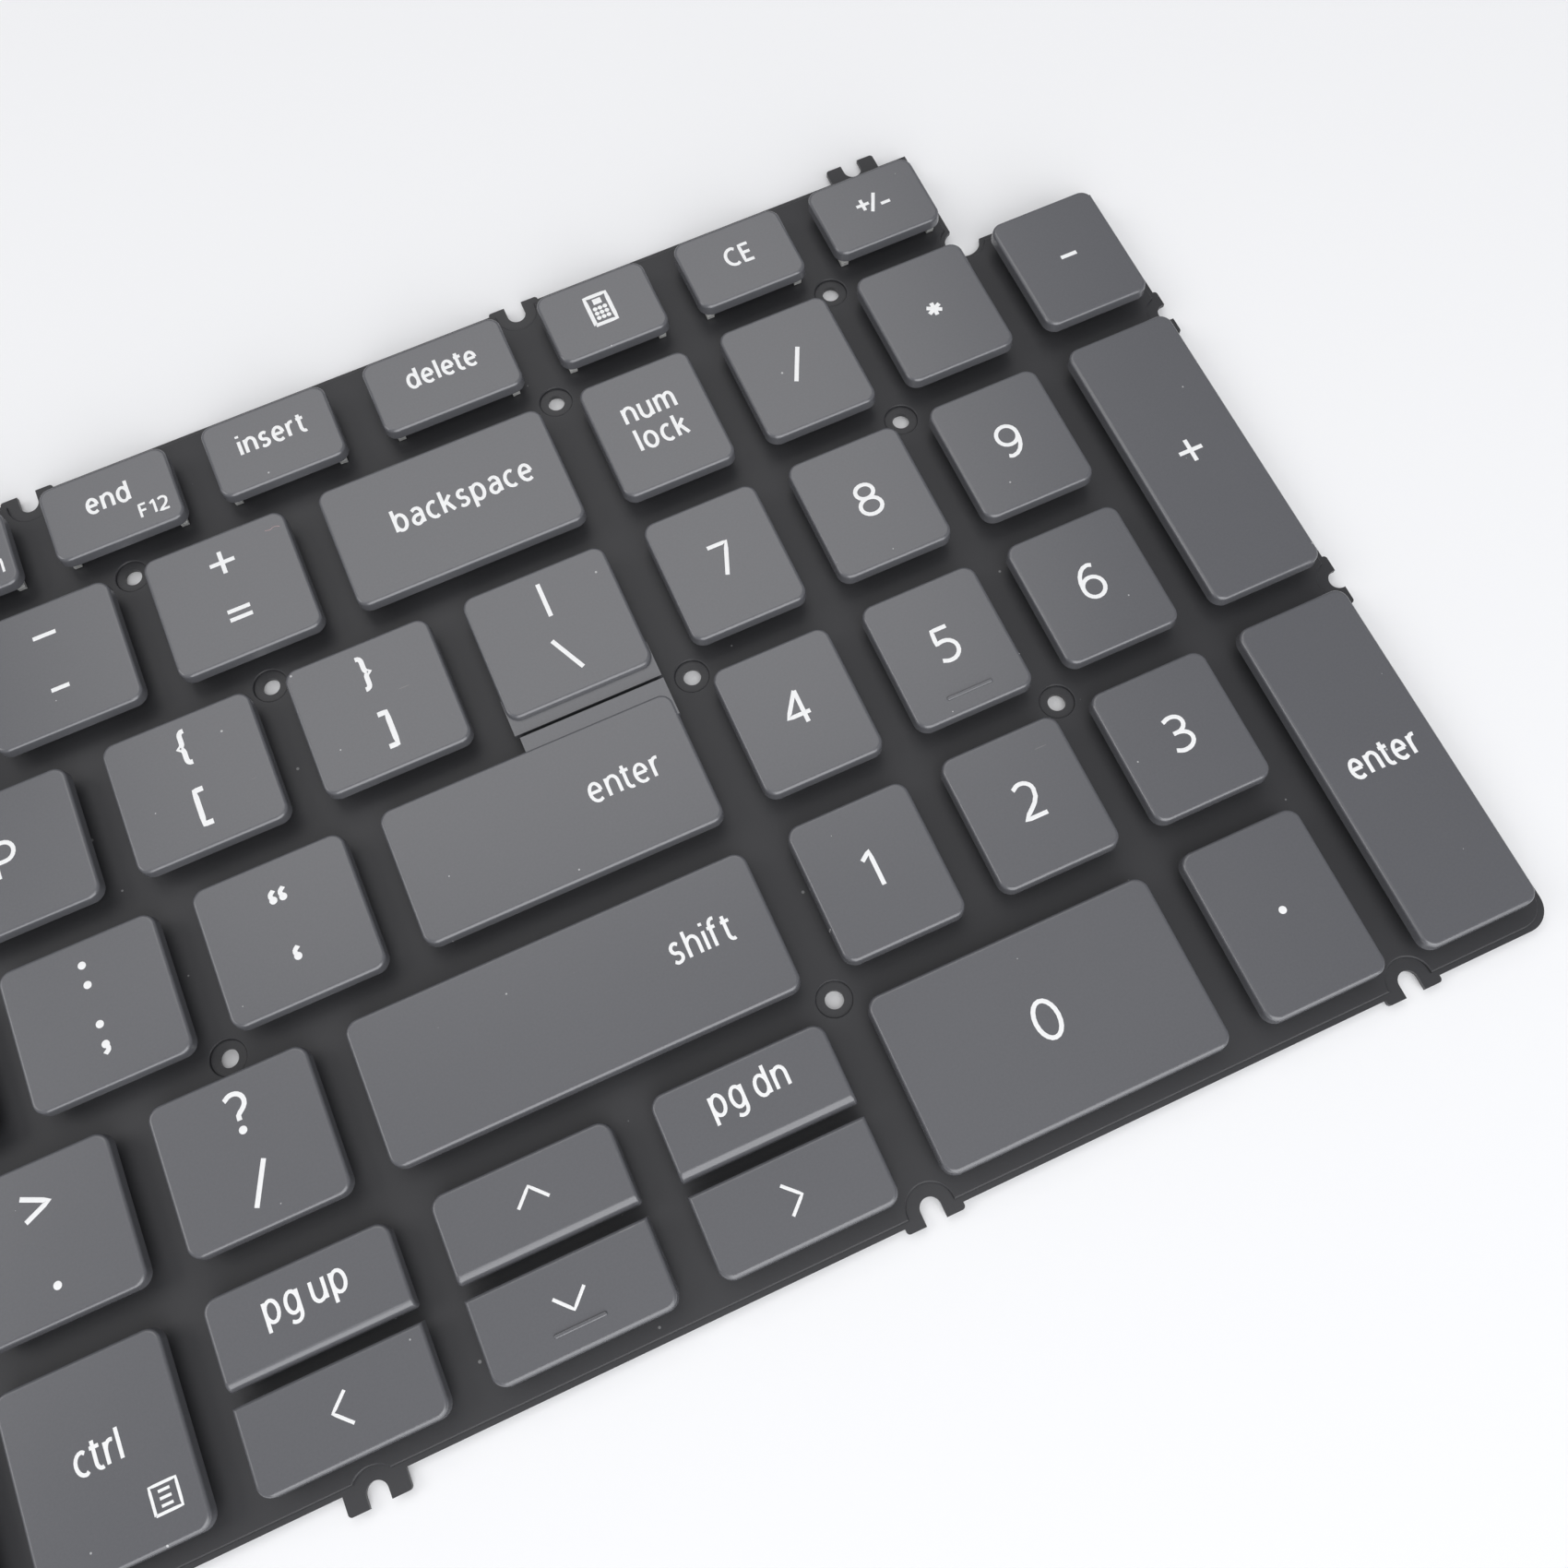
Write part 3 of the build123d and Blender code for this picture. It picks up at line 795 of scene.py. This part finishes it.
for key, text in [
    ("tab", "tab"),
    ("caps_lock", "caps lock"),
    ("left_shift", "shift"),
    ("left_ctrl", "ctrl"),
]:
    marks[key] = [(text, 3.5 - top_of(key)[0] / 2 / MM, 0.3, *word, "left")]
for key, text in [("fn", "fn"), ("left_alt", "alt"), ("right_alt", "alt")]:
    marks[key] = [(text, 0, 0.2, *word)]
marks["pad_enter"] = [("enter", 0.35, 0.3, *bold_word)]
marks["home"] = [("ring", 0, 0.2, 2.6, 0.3)]
marks["pad_num_lock"] = [("num", 0, 1.95, *bold_word), ("lock", 0.1, -1.6, *bold_word)]
marks["page_up"] = [("pg up", 0.1, 0.75, *word)]
marks["page_down"] = [("pg dn", 0.12, 0.85, *word)]
for key in ("up", "down"):
    marks["arrow_" + key] = [(key, 0, 0.6 if key == "up" else 0.2, 2.9, 0.3)]
for key in ("left", "right"):
    marks["arrow_" + key] = [(key, 0, 0.1, 2.8, 0.3)]
marks["right_ctrl"] = [
    ("ctrl", -0.1, 0.4, *word),
    ("frame", 4.25, -4.8, 2.3, 0.26),
    ("bar", 4.25, -4.2, 1.0, 0.25),
    ("bar", 4.25, -4.8, 1.0, 0.25),
    ("bar", 4.25, -5.4, 1.0, 0.25),
]
for n in range(1, 13):
    marks[f"f{n}"] = [(f"F{n}", 5.5, -2.2, *tiny, "right")]
marks["f11"].append(("home", -0.15, 0.5, *small_word))
marks["f12"].append(("end", -0.15, 0.5, *small_word))
for key in ("esc", "insert", "delete"):
    marks[key] = [(key, 0.2, 0.5, *small_word)]
marks["clear_entry"] = [("CE", 0.1, 0.4, 1.6, 0.38)]
marks["plus_minus"] = [
    ("+", -1.05, 0.5, 1.45, 0.38),
    ("/", 0.15, 0.4, 1.5, 0.38),
    ("-", 1.4, -0.15, 1.5, 0.38),
]
marks["calculator"] = [("tall_frame", 0, 0.4, 2.42, 0.44), ("bar", 0, 1.45, 0.95, 0.72)]
for column in (-1, 0, 1):
    for row in (0, 1, 2):
        marks["calculator"].append(("dot", column * 0.56, 0.55 - row * 0.6, 1, 0.3))

legend_ink = grained(
    "legend_white_ink",
    grain=6000,
    cloud=300,
    tints=[(0.90, 0.90, 0.89), (0.96, 0.96, 0.95)],
    gloss=(0.4, 0.6),
)

left_inks = []
for key, key_marks in marks.items():
    ink = legend_of(key, *key_marks)
    dress(ink, legend_ink)
    if key in moving:
        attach(ink, key)
    else:
        left_inks.append(ink)
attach(joined(left_inks, "left_legends"), "base")


# Lint: a thin pinkish fibre that lies on the equals cap.
lint_fibre = grained(
    "lint_pink_fibre",
    grain=8000,
    cloud=900,
    tints=[(0.36, 0.25, 0.25), (0.50, 0.36, 0.36)],
    gloss=(0.7, 0.85),
)
fibre = legend_of("equals", ("fibre", 6.0, 5.25, 1.55, 0.07))
fibre.name = "lint_equals"
dress(fibre, lint_fibre)
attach(fibre, "equals")


# Key caps: moulded plastic shells sprayed in satin dark grey. The spray has a fine grain and small
# changes of tint, a few specks of dust, and light handling marks.
scratches = {"Scale": 450, "Share": 0.05, "Size": 0.03, "Stretch": 12}
dust = {"Scale": 170, "Share": 0.2, "Size": 0.02}
cap_paint = grained(
    "cap_satin_grey",
    grain=4500,
    cloud=35,
    speckle=0.55,
    tints=[(0.098, 0.099, 0.107), (0.126, 0.127, 0.137)],
    gloss=(0.22, 0.29),
    relief=(0.2, 0.00001),
    specks=[(scratches, (0.16, 0.16, 0.165)), (dust, (0.45, 0.45, 0.45))],
    Specular_IOR_Level=1,
)
for name in nodes:
    if name.startswith("key_") or name == "left_keys":
        dress(nodes[name], cap_paint)


# Stage: a pale floor, weak softboxes overhead, behind and at the left, two in front that draw the caps'
# front edges, and a pale room.
floor_side = 6
floor_gap = 0.5 * MM
bpy.ops.object.select_all(action="DESELECT")
bpy.ops.mesh.primitive_plane_add(size=floor_side, location=(0, 0, -floor_gap))
floor = bpy.context.object
floor.name = "floor"
floor_white, tree, shader = finish_of("floor_white")
shader.inputs["Base Color"].default_value = (0.95, 0.95, 0.95, 1)
shader.inputs["Roughness"].default_value = 0.9
glow = tree.nodes.new("ShaderNodeEmission")


def white_to_view(tree, plain, white, output, share):
    """Mixes white into a surface for rays that show it: from the camera, or by a reflection or glass."""
    path = tree.nodes.new("ShaderNodeLightPath")
    seen = path.outputs["Is Camera Ray"]
    for kind in ("Is Glossy Ray", "Is Transmission Ray"):
        either = tree.nodes.new("ShaderNodeMath")
        either.operation = "MAXIMUM"
        tree.links.new(seen, either.inputs[0])
        tree.links.new(path.outputs[kind], either.inputs[1])
        seen = either.outputs[0]
    mix = tree.nodes.new("ShaderNodeMixShader")
    tree.links.new(ramp_of(tree, seen, 0, share), mix.inputs["Fac"])
    tree.links.new(plain, mix.inputs[1])
    tree.links.new(white, mix.inputs[2])
    tree.links.new(mix.outputs["Shader"], output.inputs["Surface"])


white_to_view(tree, shader.outputs["BSDF"], glow.outputs["Emission"], tree.nodes["Material Output"], 0.1)
dress(floor, floor_white)


def softbox(name, place, aim, width, depth, watts, colour):
    """A rectangular area lamp aimed at a point."""
    lamp = bpy.data.lights.new(name, "AREA")
    lamp.shape = "RECTANGLE"
    lamp.size = width
    lamp.size_y = depth
    lamp.energy = watts
    lamp.color = colour
    holder = bpy.data.objects.new(name, lamp)
    holder.location = place
    holder.rotation_euler = (Vector(aim) - Vector(place)).to_track_quat("-Z", "Y").to_euler()
    bpy.context.collection.objects.link(holder)


softbox("back_top", (0.11, 0.5, 0.8), (0.09, 0.0, 0), 0.7, 0.5, 1.25, (1.0, 0.99, 0.975))
softbox("back_left", (-0.75, 0.3, 0.8), (0.09, 0.0, 0), 0.65, 0.6, 2.5, (1.0, 0.99, 0.98))
softbox("top", (0.08, 0.12, 0.85), (0.08, 0.0, 0), 0.75, 0.35, 0.26, (1.0, 0.99, 0.98))
softbox("front_top", (0.1, -0.42, 0.95), (0.09, 0, 0), 0.6, 0.4, 2.0, (0.98, 0.985, 1.0))
softbox("front", (0.1, -0.69, 0.4), (0.09, 0, 0), 1.0, 0.74, 5.7, (0.97, 0.98, 1.0))

world = bpy.data.worlds.new("room")
bpy.context.scene.world = world
world.use_nodes = True
world.node_tree.nodes["Background"].inputs["Color"].default_value = (0.255, 0.26, 0.28, 1)
bpy.context.scene.view_settings.view_transform = "Standard"


# Camera: it stands where the keyboard was photographed from, close over its right end.
photo_side = 1700
focal_pixels = 1619.6
eye = Vector((92.1, -54.7, 138.1)) * MM
forward = Vector((0.1103, 0.3054, -0.9458)).normalized()
right = Vector((0.9113, -0.4108, -0.0264)).normalized()
up = right.cross(forward)
camera = bpy.data.objects.new("camera", bpy.data.cameras.new("camera"))
camera.data.sensor_width = 36
camera.data.lens = focal_pixels / photo_side * camera.data.sensor_width
camera.data.clip_start = 0.01
camera.matrix_world = Matrix.Translation(eye) @ Matrix((right, up, -forward)).transposed().to_4x4()
bpy.context.collection.objects.link(camera)
bpy.context.scene.camera = camera
